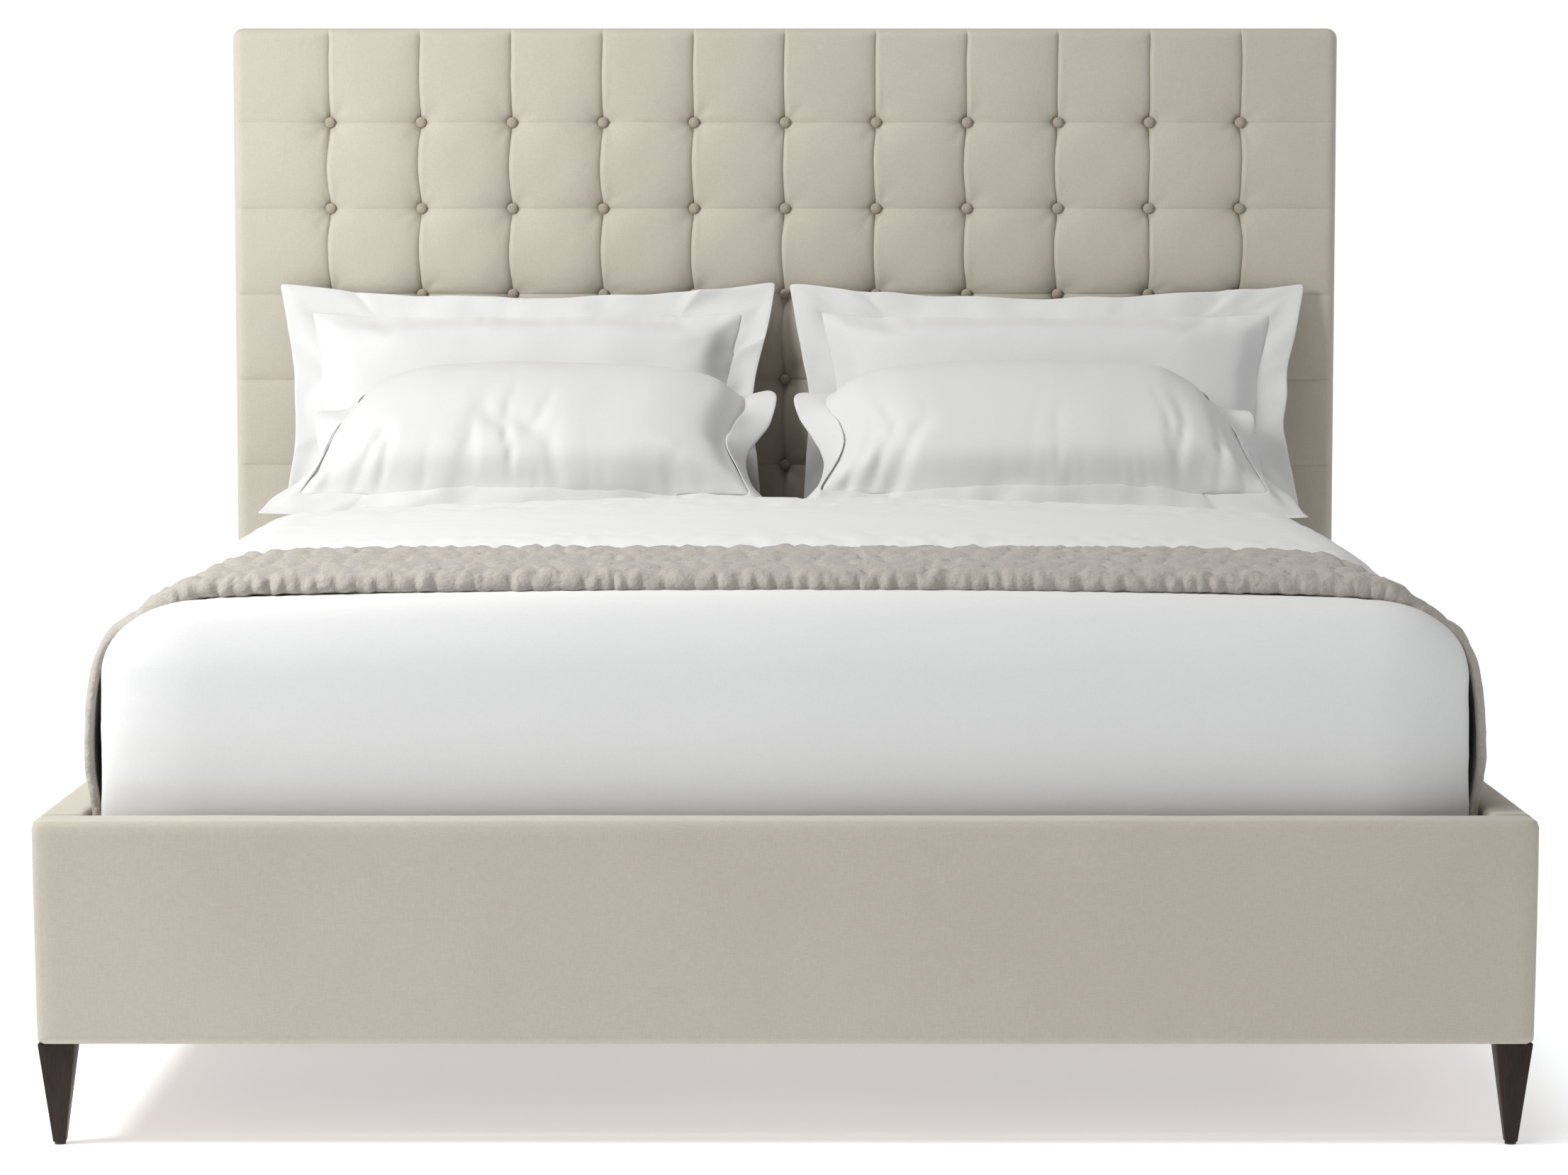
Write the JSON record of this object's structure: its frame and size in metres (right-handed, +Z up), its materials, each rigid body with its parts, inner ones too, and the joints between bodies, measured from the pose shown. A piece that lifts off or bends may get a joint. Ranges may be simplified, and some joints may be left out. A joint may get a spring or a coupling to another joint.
{
  "type": "upholstered headboard bed",
  "caption": "King bed with a button-tufted padded headboard, padded footboard and side rails on short tapered legs, a slat platform, mattress, coverlet and pillows.",
  "frame": {"origin": "centre of the footprint at floor level, midway between the footboard's front and the headboard's back", "axes": "+Z up, +Y towards the headboard, +X to the right as seen from the foot of the bed"},
  "size_m": [2.07, 2.273, 1.648],
  "materials": {
    "upholstery": "brushed sage-beige velvet weave",
    "button_fabric": "same velvet weave, pulled tight over a button",
    "pine": "planed softwood",
    "plywood": "sanded plywood",
    "espresso_wood": "dark espresso stain, satin lacquer",
    "steel": "zinc-plated steel",
    "nylon": "matt black nylon",
    "backing_cloth": "black dust cloth on board",
    "ticking": "white knitted ticking",
    "white_linen": "white cotton sateen",
    "quilted_cotton": "warm grey hand-quilted cotton"
  },
  "bodies": {
    "bed_frame": {"beam_hanger_foot": "steel", "beam_hanger_head": "steel", "center_beam": "pine", "center_leg_front": "pine", "center_leg_rear": "pine", "corner_bracket_foot_left": "steel", "corner_bracket_foot_right": "steel", "corner_bracket_head_left": "steel", "corner_bracket_head_right": "steel", "footboard_core": "pine", "footboard_cover": "upholstery", "foundation_left": "ticking", "foundation_right": "ticking", "headboard_back_sheet": "backing_cloth", "headboard_bottom_rail": "pine", "headboard_lower_cover": "upholstery", "headboard_middle_rail": "pine", "headboard_pad": "upholstery", "headboard_plywood": "plywood", "headboard_post_left": "pine", "headboard_post_right": "pine", "headboard_side_band": "upholstery", "headboard_top_rail": "pine", "ledger_left": "pine", "ledger_right": "pine", "leg_foot_left": "espresso_wood", "leg_foot_right": "espresso_wood", "leg_glide_foot_left": "nylon", "leg_glide_foot_right": "nylon", "leg_glide_head_left": "nylon", "leg_glide_head_right": "nylon", "leg_head_left": "espresso_wood", "leg_head_right": "espresso_wood", "side_rail_core_left": "pine", "side_rail_core_right": "pine", "side_rail_cover_left": "upholstery", "side_rail_cover_right": "upholstery", "slat_1": "pine", "slat_2": "pine", "slat_3": "pine", "slat_4": "pine", "slat_5": "pine", "tufting_row_1": "button_fabric", "tufting_row_2": "button_fabric", "tufting_row_3": "button_fabric", "tufting_row_4": "button_fabric", "tufting_row_5": "button_fabric"},
    "mattress": {"mattress": "ticking", "comforter": "white_linen", "coverlet": "quilted_cotton"},
    "sham_left": {"sham_left": "white_linen"},
    "pillow_left": {"pillow_left": "white_linen"},
    "sham_right": {"sham_right": "white_linen"},
    "pillow_right": {"pillow_right": "white_linen"},
    "levelling_stem_front": {"levelling_stem_front": "steel"},
    "levelling_foot_front": {"levelling_foot_front": "nylon"},
    "levelling_stem_rear": {"levelling_stem_rear": "steel"},
    "levelling_foot_rear": {"levelling_foot_rear": "nylon"}
  },
  "joints": [
    {"name": "mattress_lift", "type": "slide", "parent": "bed_frame", "child": "mattress", "axis": [0, 0, 1], "range_m": [0, 0.35]},
    {"name": "sham_left_lift", "type": "slide", "parent": "mattress", "child": "sham_left", "axis": [0, 0, 1], "range_m": [0, 0.3]},
    {"name": "pillow_left_lift", "type": "slide", "parent": "sham_left", "child": "pillow_left", "axis": [0, 0, 1], "range_m": [0, 0.3]},
    {"name": "sham_right_lift", "type": "slide", "parent": "mattress", "child": "sham_right", "axis": [0, 0, 1], "range_m": [0, 0.3]},
    {"name": "pillow_right_lift", "type": "slide", "parent": "sham_right", "child": "pillow_right", "axis": [0, 0, 1], "range_m": [0, 0.3]},
    {"name": "leveller_front_travel", "type": "slide", "parent": "bed_frame", "child": "levelling_stem_front", "axis": [0, 0, -1], "range_m": [0, 0.012]},
    {"name": "leveller_front_turn", "type": "hinge", "parent": "levelling_stem_front", "child": "levelling_foot_front", "pos_m": [0, -0.35145, 0], "axis": [0, 0, -1], "range_deg": [0, 3457]},
    {"name": "leveller_rear_travel", "type": "slide", "parent": "bed_frame", "child": "levelling_stem_rear", "axis": [0, 0, -1], "range_m": [0, 0.012]},
    {"name": "leveller_rear_turn", "type": "hinge", "parent": "levelling_stem_rear", "child": "levelling_foot_rear", "pos_m": [0, 0.39555, 0], "axis": [0, 0, -1], "range_deg": [0, 3457]}
  ],
  "couplings": [
    {"joint": "leveller_front_turn", "follows": "leveller_front_travel", "rad_per_m": 5026.5},
    {"joint": "leveller_rear_turn", "follows": "leveller_rear_travel", "rad_per_m": 5026.5}
  ]
}
